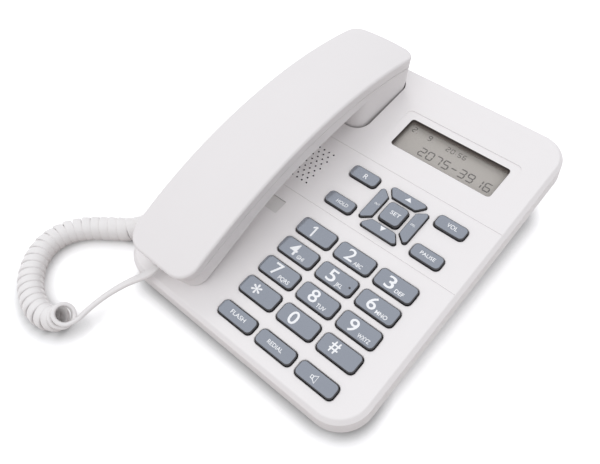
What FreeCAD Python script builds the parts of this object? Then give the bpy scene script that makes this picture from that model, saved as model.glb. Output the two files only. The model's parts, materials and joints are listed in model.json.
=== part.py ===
import FreeCAD, Part
import math
import os
from FreeCAD import Placement, Rotation, Vector

# A corded desk telephone: a thin sloping deck with a number pad and a display, a handset lying in its
# cradle on the left, and a curly cord from the handset's lower end to a socket in the base's left side.
#
# World frame: +X right, +Y to the back, +Z up, origin on the table under the middle of the telephone.
# Most pieces are drawn in the deck frame (u right, v to the back, w out of the deck's top face),
# whose origin lies near the middle of the deck, and are then tilted and carried into place.

# ---------------------------------------------------------------- driving dimensions (mm, degrees)
TILT = 8.5
DECK_FORWARD = 2.3            # origin of the deck frame, in front of the world origin
DECK_HEIGHT = 31.55           # and above the table
DECK_MIDDLE = 1.0             # v of the middle of the deck's outline
BASE_WIDTH = 153.0
BASE_DEPTH = 200.0
BASE_CORNER = 18.0
EDGE_CHAMFER = 2.2
SKIRT_HEIGHT = 12.0
SKIRT_FLARE = 0.35            # the skirt leans out by this much at its lower edge
WALL = 2.2

HOUSING_INSET = 6.0           # lower housing, in from the deck's sides
HOUSING_CORNER = 13.0
FOOT_HEIGHT = 2.0
FOOT_RADIUS = 5.5

KEY_PITCH_U = 25.0
KEY_PITCH_V = 14.5
KEY_SIZE = (22.1, 10.4)
KEY_COLUMN = 24.6             # u of the middle column of keys
KEY_TOP_ROW = -26.2           # v of the 1-2-3 row
FUNCTION_ROW = -86.0
FUNCTION_SIZE = (22.1, 8.3)
SIDE_KEY_SIZE = (17.5, 8.2)
SIDE_KEY_REACH = 27.4
SIDE_KEY_ROWS = (-3.6, 17.8)
RING_CENTRE = (24.6, 6.4)     # middle of the navigation ring
SET_SIZE = (12.2, 12.8)
KEY_CORNER = 2.4
KEY_STAND = 1.7               # key tops above the deck
KEY_TRAVEL = 1.5
KEY_GAP = 0.35

DISPLAY_CENTRE = (25.3, 56.6)
DISPLAY_SIZE = (63.3, 22.4)
BEZEL_SIZE = (73.0, 33.0)
BEZEL_DIP = 0.45
CREASES = (29.4, -12.7)       # v of the two fine grooves across the deck

WELL_CENTRE = (-45.0, 66.8)
WELL_SIZE = (41.2, 50.2)
WELL_CORNER = 9.0
WELL_DEPTH = 8.3

GRILLE_CENTRE = (-45.0, 7.7)
GRILLE_SIZE = (40.6, 27.6)
GRILLE_PITCH = (3.39, 2.98)
GRILLE_HOLE = 0.6
CARD_CENTRE = (-45.0, -25.2)
CARD_SIZE = (37.2, 9.0)

HANDSET_AXIS = -45.0          # u of the handset's middle
ARC_RADIUS = 273.0            # the handset's long bow, to the edge of its crown
ARC_APEX = (3.0, 36.0)        # (v, w) of the top of that bow
CROWN = 1.6                   # rise of the back across its width
CROWN_ROUND = 1.5
GRIP_UNDERSIDE = 20.8
SHELL = 2.0
PARTING = 6.5                 # parting line below the crown's edge
PARTING_GAP = 0.3
HOOK_TRAVEL = 4.0

PLUG_SIZE = (7.7, 6.5)
PLUG_LENGTH = 9.5
PLUG_PROUD = 0.4              # the plug's cable end stands out of its socket by this much
COIL_RADIUS = 6.65
LEAD_RADIUS = 1.7

os.makedirs("parts", exist_ok=True)
NODES = {}


# ---------------------------------------------------------------- small helpers
def box(u0, u1, v0, v1, w0, w1):
    return Part.makeBox(u1 - u0, v1 - v0, w1 - w0, Vector(u0, v0, w0))


def tilted(shape):
    """Carry a shape from the deck frame to the world frame."""
    placed = shape.copy()
    middle = Vector(0, -DECK_FORWARD, DECK_HEIGHT)
    placed.Placement = Placement(middle, Rotation(Vector(1, 0, 0), TILT)).multiply(placed.Placement)
    return placed


def world_point(u, v, w):
    s, c = math.sin(math.radians(TILT)), math.cos(math.radians(TILT))
    return Vector(u, v * c - w * s - DECK_FORWARD, DECK_HEIGHT + v * s + w * c)


def rounded_wire(cu, cv, width, depth, radius, w):
    """A rectangle with round corners, centred on (cu, cv) at height w."""
    a, b, r = width / 2, depth / 2, radius
    k = r * (1 - math.sqrt(0.5))
    signs = [(1, -1), (1, 1), (-1, 1), (-1, -1)]
    edges = []
    for i, (su, sv) in enumerate(signs):
        if su * sv < 0:
            start = Vector(cu + su * (a - r), cv + sv * b, w)
            end = Vector(cu + su * a, cv + sv * (b - r), w)
        else:
            start = Vector(cu + su * a, cv + sv * (b - r), w)
            end = Vector(cu + su * (a - r), cv + sv * b, w)
        middle = Vector(cu + su * (a - k), cv + sv * (b - k), w)
        if i:
            edges.append(Part.LineSegment(last, start).toShape())
        else:
            first = start
        edges.append(Part.Arc(start, middle, end).toShape())
        last = end
    edges.append(Part.LineSegment(last, first).toShape())
    return Part.Wire(edges)


def rounded_block(cu, cv, width, depth, radius, w0, w1):
    face = Part.Face(rounded_wire(cu, cv, width, depth, radius, w0))
    return face.extrude(Vector(0, 0, w1 - w0))


def stack(cu, cv, levels):
    """A closed solid through round-cornered rectangles: levels are (width, depth, radius, w)."""
    wires = [rounded_wire(cu, cv, *level) for level in levels]
    return Part.makeLoft(wires, True, True)


def polygon_block(points, w0, w1):
    corners = [Vector(u, v, w0) for u, v in points]
    face = Part.Face(Part.makePolygon(corners + corners[:1]))
    return face.extrude(Vector(0, 0, w1 - w0))


def joined(shapes):
    result = shapes[0]
    if len(shapes) > 1:
        result = result.fuse(shapes[1:])
    return result.removeSplitter()


def holed(shape, tools):
    return shape.cut(tools) if tools else shape


def add(name, shape, in_deck_frame=True):
    NODES[name] = tilted(shape) if in_deck_frame else shape


# ---------------------------------------------------------------- keys
def key_slots():
    """Every key as (name, kind, centre or outline)."""
    slots = []
    digits = ["1", "2", "3", "4", "5", "6", "7", "8", "9", "star", "0", "hash"]
    for i, digit in enumerate(digits):
        u = KEY_COLUMN + (i % 3 - 1) * KEY_PITCH_U
        v = KEY_TOP_ROW - (i // 3) * KEY_PITCH_V
        slots.append(("key_" + digit, (u, v), KEY_SIZE))
    for i, name in enumerate(["flash", "redial", "speaker"]):
        slots.append(("key_" + name, (KEY_COLUMN + (i - 1) * KEY_PITCH_U, FUNCTION_ROW), FUNCTION_SIZE))
    sides = [("recall", -1, 1), ("hold", -1, 0), ("volume", 1, 1), ("pause", 1, 0)]
    for name, side, row in sides:
        slots.append(("key_" + name, (KEY_COLUMN + side * SIDE_KEY_REACH, SIDE_KEY_ROWS[row]), SIDE_KEY_SIZE))
    slots.append(("key_set", RING_CENTRE, SET_SIZE))
    return slots


RING_OUTER = 15.0             # the four ring keys run from here
RING_INNER = 8.6              # in to here, measured square to their sides
RING_MITRE = 0.9              # half the gap between neighbours, square to the mitre


def ring_outline(turns, grow):
    """A ring key's outline: a trapezium with its outer corners cut back, turned by quarter turns."""
    outer, inner = RING_OUTER + grow, RING_INNER - grow
    gap = (RING_MITRE - grow) * math.sqrt(2)
    points = [
        (-inner + gap, inner), (-outer + gap + 2.4, outer - 1.2), (-outer + gap + 4.6, outer),
        (outer - gap - 4.6, outer), (outer - gap - 2.4, outer - 1.2), (inner - gap, inner)]
    angle = math.radians(90 * turns)
    c, s = math.cos(angle), math.sin(angle)
    return [(RING_CENTRE[0] + x * c - y * s, RING_CENTRE[1] + x * s + y * c) for x, y in points]


RING_KEYS = [("key_up", 0), ("key_out", 1), ("key_down", 2), ("key_delete", 3)]
KEY_BOTTOM = -5.0
KEY_FLANGE = (-3.9, -2.9)
FLANGE_REACH = 0.9
KEY_BEVEL = 0.45


def key_solid(centre, size, stand):
    width, depth = size
    cap = stack(centre[0], centre[1], [
        (width, depth, KEY_CORNER, KEY_BOTTOM),
        (width, depth, KEY_CORNER, stand - KEY_BEVEL),
        (width - 2 * KEY_BEVEL, depth - 2 * KEY_BEVEL, KEY_CORNER - KEY_BEVEL, stand)])
    a, b = width / 2 + FLANGE_REACH, depth / 2 + FLANGE_REACH
    flange = box(centre[0] - a, centre[0] + a, centre[1] - b, centre[1] + b, *KEY_FLANGE)
    return joined([cap, flange])


def ring_key_solid(turns):
    cap = polygon_block(ring_outline(turns, 0.0), KEY_BOTTOM, KEY_STAND)
    rounded = [e for e in cap.Edges if abs(e.BoundBox.ZLength - (KEY_STAND - KEY_BOTTOM)) < 1e-6]
    cap = cap.makeFillet(0.7, rounded)
    top = [e for e in cap.Edges if e.BoundBox.ZMin > KEY_STAND - 1e-6]
    cap = cap.makeChamfer(KEY_BEVEL, top)
    flange = polygon_block(ring_outline(turns, 0.6), *KEY_FLANGE)
    return joined([cap, flange])


def make_keys():
    for name, centre, size in key_slots():
        stand = KEY_STAND + (0.7 if name == "key_set" else 0.0)
        add(name, key_solid(centre, size, stand))
    for name, turns in RING_KEYS:
        add(name, ring_key_solid(turns))


def key_openings():
    """Holes in the deck for every key, with a fine chamfer round each mouth."""
    tools = []
    for name, centre, size in key_slots():
        w, d = size[0] + 2 * KEY_GAP, size[1] + 2 * KEY_GAP
        r = KEY_CORNER + KEY_GAP
        tools.append(stack(centre[0], centre[1], [
            (w, d, r, -WALL - 1), (w, d, r, -0.3), (w + 0.8, d + 0.8, r + 0.4, 0.1)]))
    for name, turns in RING_KEYS:
        tools.append(polygon_block(ring_outline(turns, KEY_GAP), -WALL - 1, 0.1))
    return tools


# ---------------------------------------------------------------- base: deck and lower housing
SCREW_PLACES = [(65.0, -70.3), (63.5, 79.7), (-17.0, 83.7), (-65.0, -71.3), (-17.5, -23.3)]
BOSS_RADIUS = 2.9
PILOT_RADIUS = 1.15
HOUSING_HALF = BASE_WIDTH / 2 - HOUSING_INSET
HOUSING_FRONT = -92.8
HOUSING_BACK = 90.7
FLANGE_LEVELS = (-11.8, -9.8)
HOOK_CENTRE = (-45.0, 52.0)
HOOK_SIZE = (12.0, 6.0)


def below_deck(w):
    """Everything lower than height w of the deck frame, as a world solid."""
    return tilted(box(-200, 200, -250, 250, w - 200, w))


def housing_block(inset, z0, w1, corner):
    """The lower housing's upright prism, from z0 up to height w1 of the deck frame."""
    middle = (HOUSING_FRONT + HOUSING_BACK) / 2
    depth = HOUSING_BACK - HOUSING_FRONT
    prism = rounded_block(0, middle, 2 * (HOUSING_HALF - inset), depth - 2 * inset, corner, z0, 80)
    return prism.common(below_deck(w1))


def make_deck():
    w, d, r = BASE_WIDTH, BASE_DEPTH, BASE_CORNER
    outer = stack(0, DECK_MIDDLE, [
        (w + 2 * SKIRT_FLARE, d + 2 * SKIRT_FLARE, r + SKIRT_FLARE, -SKIRT_HEIGHT),
        (w, d, r, -EDGE_CHAMFER),
        (w - 2 * EDGE_CHAMFER, d - 2 * EDGE_CHAMFER, r - EDGE_CHAMFER, 0)])
    rim = [e for e in outer.Edges if e.BoundBox.ZMin > -1e-6]
    outer = outer.makeFillet(1.4, rim)
    hollow = rounded_block(0, DECK_MIDDLE, w - 2 * WALL, d - 2 * WALL, r - WALL, -SKIRT_HEIGHT - 1, -WALL)
    deck = outer.cut(hollow)
    well_walls = rounded_block(*WELL_CENTRE, WELL_SIZE[0] + 3.6, WELL_SIZE[1] + 3.6, WELL_CORNER + 1.8,
                               -WELL_DEPTH - 1.8, -WALL / 2)
    frame = rounded_block(*DISPLAY_CENTRE, DISPLAY_SIZE[0] + 5, DISPLAY_SIZE[1] + 5, 3.0, -3.4, -WALL / 2)
    deck = joined([deck, well_walls, frame])
    well = stack(WELL_CENTRE[0], WELL_CENTRE[1], [
        (WELL_SIZE[0] - 1.0, WELL_SIZE[1] - 1.0, WELL_CORNER - 0.5, -WELL_DEPTH),
        (WELL_SIZE[0], WELL_SIZE[1], WELL_CORNER, 0.1)])
    tools = [well]
    tools.append(rounded_block(*HOOK_CENTRE, HOOK_SIZE[0] + 0.6, HOOK_SIZE[1] + 0.6, 1.3, -12, -WELL_DEPTH + 1))
    tools.append(stack(DISPLAY_CENTRE[0], DISPLAY_CENTRE[1], [
        (DISPLAY_SIZE[0] - 0.8, DISPLAY_SIZE[1] - 0.8, 1.6, -4.0),
        (DISPLAY_SIZE[0] + 0.2, DISPLAY_SIZE[1] + 0.2, 2.1, 0.2)]))
    tools.append(rounded_block(*CARD_CENTRE, *CARD_SIZE, 0.8, -1.0, 0.1))
    tools.append(box(GRILLE_CENTRE[0] - GRILLE_SIZE[0] / 2, GRILLE_CENTRE[0] + GRILLE_SIZE[0] / 2,
                     GRILLE_CENTRE[1] - GRILLE_SIZE[1] / 2, GRILLE_CENTRE[1] + GRILLE_SIZE[1] / 2, -4, 1))
    bezel = rounded_block(0, 0, BEZEL_SIZE[0], BEZEL_SIZE[1], 3.0, 0, 4)
    fall = math.degrees(math.atan2(BEZEL_DIP, BEZEL_SIZE[1]))
    bezel.rotate(Vector(0, -BEZEL_SIZE[1] / 2, 0), Vector(1, 0, 0), -fall)
    bezel.translate(Vector(DISPLAY_CENTRE[0] - 0.6, DISPLAY_CENTRE[1] - 0.2, 0))
    tools.append(bezel)
    for v in CREASES:
        tools.append(box(-BASE_WIDTH / 2 - 1, BASE_WIDTH / 2 + 1, v - 0.22, v + 0.22, -0.3, 1))
    tools += key_openings()
    deck = holed(deck, tools)
    deck = tilted(deck)
    roof = below_deck(-WALL / 2)
    bosses = []
    pilots = []
    for u, v in SCREW_PLACES:
        foot = FOOT_HEIGHT + WALL + 0.3
        bosses.append(Part.makeCylinder(BOSS_RADIUS, 60, Vector(u, v, foot)).common(roof))
        depth = DECK_HEIGHT + v * math.tan(math.radians(TILT)) - WALL - 2.5 - foot
        pilots.append(Part.makeCylinder(PILOT_RADIUS, depth, Vector(u, v, foot - 0.1)))
    deck = joined([deck] + bosses).cut(pilots)
    add("base_top_shell", deck, False)


def make_grille():
    half_u, half_v = GRILLE_SIZE[0] / 2, GRILLE_SIZE[1] / 2
    cu, cv = GRILLE_CENTRE
    plate = box(cu - half_u, cu + half_u, cv - half_v, cv + half_v, -WALL, 0)
    holes = []
    rows = 9
    for row in range(rows):
        v = cv + (row - (rows - 1) / 2) * GRILLE_PITCH[1]
        count = 12 - row % 2
        for i in range(count):
            u = cu + (i - (count - 1) / 2) * GRILLE_PITCH[0]
            ring = Part.makePolygon([
                Vector(u + GRILLE_HOLE * math.cos(math.radians(60 * k)),
                       v + GRILLE_HOLE * math.sin(math.radians(60 * k)), -3) for k in range(7)])
            holes.append(Part.Face(ring).extrude(Vector(0, 0, 4)))
    add("speaker_grille", plate.cut(Part.makeCompound(holes)))


JACK_Y = 6.7                  # handset socket in the base's left side
JACK_Z = 9.6
LINE_JACK = (-30.0, 15.0)     # (x, z) of the line socket in the back
LINE_OPENING = (9.9, 6.9)
KEYHOLE_SPACING = 83.0


def make_bottom_shell():
    outer = housing_block(0, FOOT_HEIGHT, FLANGE_LEVELS[1], HOUSING_CORNER)
    reach = WALL + 0.3
    flange = tilted(rounded_block(0, DECK_MIDDLE, BASE_WIDTH - 2 * reach, BASE_DEPTH - 2 * reach,
                                  BASE_CORNER - reach, *FLANGE_LEVELS))
    inner = housing_block(WALL, FOOT_HEIGHT + WALL, FLANGE_LEVELS[1] + 1, HOUSING_CORNER - WALL)
    shell = joined([outer, flange]).cut(inner)
    tools = [box(-HOUSING_HALF - 1, -HOUSING_HALF + WALL + 1, JACK_Y - 5.1, JACK_Y + 5.1, JACK_Z - 4.4, JACK_Z + 4.4)]
    tools.append(tilted(rounded_block(*WELL_CENTRE, WELL_SIZE[0] + 4.2, WELL_SIZE[1] + 4.2, WELL_CORNER + 2.1,
                                      -WELL_DEPTH - 2.1, 0)))
    x, z = LINE_JACK
    tools.append(box(x - 6.4, x + 6.4, HOUSING_BACK - WALL - 1, HOUSING_BACK + 1, z - 5.0, z + 5.0))
    for u, v in SCREW_PLACES:
        tools.append(Part.makeCylinder(1.5, 10, Vector(u, v, 0)))
        tools.append(Part.makeCylinder(2.7, 1.1, Vector(u, v, FOOT_HEIGHT - 0.01)))
    for side in (-1, 1):
        y = side * KEYHOLE_SPACING / 2
        tools.append(Part.makeCylinder(4.5, 10, Vector(0, y - 4, 0)))
        tools.append(box(-2.3, 2.3, y - 4, y + 5, 0, 10))
        tools.append(Part.makeCylinder(2.3, 10, Vector(0, y + 5, 0)))
    add("base_bottom_shell", shell.cut(tools), False)


def make_feet_and_screws():
    feet = []
    for sx in (-1, 1):
        for y in (HOUSING_FRONT + 11, HOUSING_BACK - 11):
            x = sx * (HOUSING_HALF - 16.5)
            disc = Part.makeCylinder(FOOT_RADIUS, FOOT_HEIGHT, Vector(x, y, 0))
            feet.append(disc.makeChamfer(0.5, [e for e in disc.Edges if e.BoundBox.ZMax < 1e-6]))
    add("rubber_feet", Part.makeCompound(feet), False)
    screws = []
    for u, v in SCREW_PLACES:
        head = Part.makeCylinder(2.5, 1.0, Vector(u, v, FOOT_HEIGHT + 0.05))
        shank = Part.makeCylinder(PILOT_RADIUS - 0.03, 8.0, Vector(u, v, FOOT_HEIGHT + 0.9))
        screws.append(head.fuse(shank))
    add("base_screws", Part.makeCompound(screws), False)


def make_display():
    width, depth = DISPLAY_SIZE
    lens = rounded_block(*DISPLAY_CENTRE, width + 4, depth + 4, 2.0, -4.4, -3.4)
    add("display_lens", lens)
    panel = rounded_block(*DISPLAY_CENTRE, width + 3, depth + 6, 1.0, -7.2, -4.5)
    add("display_panel", panel)
    add("number_card", rounded_block(*CARD_CENTRE, CARD_SIZE[0] - 0.4, CARD_SIZE[1] - 0.4, 0.6, -1.0, -0.55))


BOARD_AREA = (-13.5, 62.0, -93.5, 30.0)
BOARD_BOTTOM, BOARD_TOP, MAT_TOP = -9.7, -8.0, -7.0


def make_electronics():
    u0, u1, v0, v1 = BOARD_AREA
    mat = box(u0 + 1, u1 - 1, v0 + 1, v1 - 1, BOARD_TOP, MAT_TOP)
    dome_height = KEY_BOTTOM - KEY_TRAVEL - 0.1 - MAT_TOP
    domes = []
    spots = [centre for name, centre, size in key_slots()]
    for name, turns in RING_KEYS:
        outline = ring_outline(turns, 0)
        spots.append((sum(p[0] for p in outline) / len(outline), sum(p[1] for p in outline) / len(outline)))
    for u, v in spots:
        domes.append(Part.makeCone(2.6, 1.8, dome_height, Vector(u, v, MAT_TOP)))
    add("keypad_mat", joined([mat] + domes))
    board = box(u0, u1, v0, v1, BOARD_BOTTOM, BOARD_TOP)
    chip = box(-5, 7, -2, 10, BOARD_BOTTOM - 1, BOARD_BOTTOM)
    connector = box(-12, -9, -60, -45, BOARD_BOTTOM - 1, BOARD_BOTTOM)
    add("main_circuit_board", joined([board, chip, connector]))
    cu, cv = GRILLE_CENTRE
    frame = Part.makeCylinder(18.0, 3.0, Vector(cu, cv, -WALL - 3.0))
    basket = Part.makeCone(9.5, 16.5, 5.0, Vector(cu, cv, -WALL - 8.0))
    magnet = Part.makeCylinder(9.0, 4.0, Vector(cu, cv, -WALL - 12.0))
    dish = Part.makeCone(5.0, 15.5, 2.4, Vector(cu, cv, -WALL - 2.4))
    add("loudspeaker", joined([frame, basket, magnet]).cut(dish))


# ---------------------------------------------------------------- hook switch
PLUNGER_TOP = -7.9
COLLAR_TOP = -WELL_DEPTH - 1.8 - 0.5 - HOOK_TRAVEL


def make_hook():
    cu, cv = HOOK_CENTRE
    foot = COLLAR_TOP - 1.4
    head = rounded_block(cu, cv, *HOOK_SIZE, 1.0, foot, PLUNGER_TOP)
    collar = rounded_block(cu, cv, HOOK_SIZE[0] + 3, HOOK_SIZE[1] + 3, 1.5, foot, COLLAR_TOP)
    add("hook_plunger", joined([head, collar]))
    guide = box(cu - 10, cu + 10, cv - 7, cv + 7, -24.0, -17.5)
    button = box(cu - 2, cu + 2, cv - 2, cv + 2, -17.5, -16.6)
    add("hook_switch", joined([guide, button]))


# ---------------------------------------------------------------- sockets and plugs
def socket_solid(opening, depth, housing):
    """A socket looking along -X: its mouth lies in the plane x = 0 and it runs to positive x."""
    width, height = opening
    wide, tall, deep = housing
    block = box(0, deep, -wide / 2, wide / 2, -tall / 2, tall / 2)
    cavity = box(-1, depth, -width / 2, width / 2, -height / 2, height / 2)
    latch = box(-1, depth - 3, -width / 4, width / 4, -height / 2 - 0.7, -height / 2 + 0.1)
    return block.cut([cavity, latch])


def plug_solid():
    """A modular plug with its cable end in the plane x = 0 and its nose at positive x."""
    width, height = PLUG_SIZE
    body = box(0, PLUG_LENGTH, -width / 2, width / 2, -height / 2, height / 2)
    nose = [e for e in body.Edges if e.BoundBox.XMin > PLUG_LENGTH - 1e-6]
    body = body.makeChamfer(0.4, nose)
    latch = box(1.0, PLUG_LENGTH - 3.4, -width / 4 + 0.3, width / 4 - 0.3, -height / 2 - 0.5, -height / 2)
    return joined([body, latch])


def make_base_jacks():
    opening = (PLUG_SIZE[0] + 0.4, PLUG_SIZE[1] + 0.4)
    jack = socket_solid(opening, PLUG_LENGTH - 0.2, (10.0, 8.6, 12.0))
    jack.translate(Vector(-HOUSING_HALF + 0.4, JACK_Y, JACK_Z))
    add("base_handset_jack", jack, False)
    plug = plug_solid()
    plug.translate(Vector(-HOUSING_HALF + 0.4 - PLUG_PROUD, JACK_Y, JACK_Z))
    add("base_plug", plug, False)
    x, z = LINE_JACK
    line = socket_solid(LINE_OPENING, 12.0, (12.6, 9.8, 14.0))
    line.rotate(Vector(0, 0, 0), Vector(0, 0, 1), -90)
    line.translate(Vector(x, HOUSING_BACK - 0.4, z))
    add("line_jack", line, False)


# ---------------------------------------------------------------- handset
AXIS_V, AXIS_W = ARC_APEX[0], ARC_APEX[1] - ARC_RADIUS
# Ends and half widths of the handset's plan, at two heights: the sides lean in towards the deck.
PLAN_LOW = {"w": -9.0, "front": -86.0, "back": 90.8, "ear": 18.9, "waist": 17.0, "mouth": 16.6}
PLAN_HIGH = {"w": 41.0, "front": -102.6, "back": 93.5, "ear": 25.1, "waist": 23.0, "mouth": 26.5}
EAR_FACE = (42.9, 40.6)       # v of the ear block's front, at the two heights
MOUTH_CORNER = (8.0, 13.5)    # corner radius at the lower and the upper plan
EAR_CORNER = 8.0
BLOCK_CORNER = 8.4
EAR_BOTTOM = -7.6
UNDERSIDE_RADIUS = 140.0
UNDERSIDE_FALL = 18.5         # slope of the mouth end's lower face
MOUTH_REST = 0.35


def plan_wire(plan, inset):
    f, b = plan["front"] + inset, plan["back"] - inset
    ear, waist, mouth = plan["ear"] - inset, plan["waist"] - inset, plan["mouth"] - inset
    w = plan["w"]
    corners = [Vector(HANDSET_AXIS + mouth, f, w), Vector(HANDSET_AXIS + ear, b, w),
               Vector(HANDSET_AXIS - ear, b, w), Vector(HANDSET_AXIS - mouth, f, w)]
    right = Part.Arc(corners[0], Vector(HANDSET_AXIS + waist, (f + b) / 2, w), corners[1]).toShape()
    back = Part.LineSegment(corners[1], corners[2]).toShape()
    left = Part.Arc(corners[2], Vector(HANDSET_AXIS - waist, (f + b) / 2, w), corners[3]).toShape()
    front = Part.LineSegment(corners[3], corners[0]).toShape()
    return Part.Wire([right, back, left, front])


def upright_edges(shape, v_low, v_high):
    """Edges that climb from the lower plan to the higher one, between two values of v."""
    picked = []
    for edge in shape.Edges:
        b = edge.BoundBox
        if b.ZLength > 30 and b.YMin >= v_low and b.YMax <= v_high:
            picked.append(edge)
    return picked


def handset_form(inset):
    """The handset's outer form, or the same form drawn in by inset all round for the hollow."""
    prism = Part.makeLoft([plan_wire(PLAN_LOW, inset), plan_wire(PLAN_HIGH, inset)], True, True)
    for edge in upright_edges(prism, -110, -60):
        radii = [radius - inset for radius in MOUTH_CORNER]
        if edge.Vertexes[0].Z > edge.Vertexes[1].Z:
            radii.reverse()
        prism = prism.makeFillet(radii[0], radii[1], [edge])
    prism = prism.makeFillet(EAR_CORNER - inset, upright_edges(prism, 60, 110))
    # the bowed back: an arc across the handset, swung about the centre of its long bow
    half = 32.0
    across = ((half ** 2) / (2 * 22.5 ** 2)) * 2 * CROWN
    top = ARC_RADIUS + CROWN - inset
    low = 190.0
    profile = Part.Wire([
        Part.Arc(Vector(HANDSET_AXIS - half, AXIS_V, AXIS_W + top - across),
                 Vector(HANDSET_AXIS, AXIS_V, AXIS_W + top),
                 Vector(HANDSET_AXIS + half, AXIS_V, AXIS_W + top - across)).toShape(),
        Part.makePolygon([Vector(HANDSET_AXIS + half, AXIS_V, AXIS_W + top - across),
                          Vector(HANDSET_AXIS + half, AXIS_V, AXIS_W + low),
                          Vector(HANDSET_AXIS - half, AXIS_V, AXIS_W + low),
                          Vector(HANDSET_AXIS - half, AXIS_V, AXIS_W + top - across)])])
    swing = Part.Face(profile)
    swing.rotate(Vector(0, AXIS_V, AXIS_W), Vector(1, 0, 0), -27)
    back = swing.revolve(Vector(0, AXIS_V, AXIS_W), Vector(1, 0, 0), 54)
    form = prism.common(back)
    # underside: level under the grip, then a long bow and a straight slope down to the mouth end
    level = GRIP_UNDERSIDE + inset
    radius = UNDERSIDE_RADIUS + inset
    fall = math.radians(UNDERSIDE_FALL)
    bend_v, bend_w = -2.0 - radius * math.sin(fall), level - radius * (1 - math.cos(fall))
    middle = Vector(0, -2.0 - radius * math.sin(fall / 2), level - radius * (1 - math.cos(fall / 2)))
    rest = MOUTH_REST + inset
    rest_v = bend_v - (bend_w - rest) / math.tan(fall)
    edge = Vector(0, -2.0, level)
    end = EAR_FACE[0] + BLOCK_CORNER
    bend = Vector(0, bend_v, bend_w)
    under = Part.Wire([
        Part.makePolygon([edge, Vector(0, end, level), Vector(0, end, -30), Vector(0, -120, -30),
                          Vector(0, -120, rest), Vector(0, rest_v, rest), bend]),
        Part.Arc(bend, middle, edge).toShape()])
    under = Part.Face(under)
    under.translate(Vector(HANDSET_AXIS - 40, 0, 0))
    under = under.extrude(Vector(80, 0, 0))
    # the ear block is left standing through the underside cut
    low_half = ear_half_width(PLAN_LOW) - inset + 0.02
    high_half = ear_half_width(PLAN_HIGH) - inset + 0.02
    corner = BLOCK_CORNER - inset
    wires = []
    for plan, half_width, face in ((PLAN_LOW, low_half, EAR_FACE[0]), (PLAN_HIGH, high_half, EAR_FACE[1])):
        front, far = face + inset, 130.0
        wires.append(rounded_wire(HANDSET_AXIS, (front + far) / 2, 2 * half_width, far - front, corner, plan["w"]))
    block = Part.makeLoft(wires, True, True)
    form = form.cut(under.cut(block))
    floor = box(HANDSET_AXIS - 40, HANDSET_AXIS + 40, -120, 120, -60, EAR_BOTTOM + inset)
    return form.cut(floor)


def ear_half_width(plan):
    """Half width of the bowed side of a plan just behind the ear block's front corner."""
    f, b = plan["front"], plan["back"]
    mid = (f + b) / 2
    a = Vector(plan["mouth"], f, 0)
    m = Vector(plan["waist"], mid, 0)
    c = Vector(plan["ear"], b, 0)
    circle = Part.Arc(a, m, c).toShape().Curve
    v = EAR_FACE[0] + BLOCK_CORNER
    offset = math.sqrt(circle.Radius ** 2 - (v - circle.Center.y) ** 2)
    return circle.Center.x - offset if circle.Center.x > m.x else circle.Center.x + offset


def soften(shape, radius, choose):
    """Round the chosen edges, and leave the shape as it is where a radius cannot be rolled."""
    edges = [e for e in shape.Edges if choose(e)]
    result = shape.makeFillet(radius, edges)
    return result if result.isValid() else shape


def bow_distance(point):
    return math.hypot(point.y - AXIS_V, point.z - AXIS_W)


def on_crown_rim(edge):
    """True for the edges where the bowed back meets the sides."""
    points = [edge.valueAt(edge.FirstParameter + (edge.LastParameter - edge.FirstParameter) * t)
              for t in (0.1, 0.5, 0.9)]
    return all(bow_distance(p) > ARC_RADIUS - 2.5 for p in points)


SOCKET_U = -48.5
SOCKET_W = 7.6
SOCKET_MOUTH = -90.2
RECEIVER_V = 67.0
MIC_V = -66.0
HANDSET_SCREW_V = (-24.0, 36.0)


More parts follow.
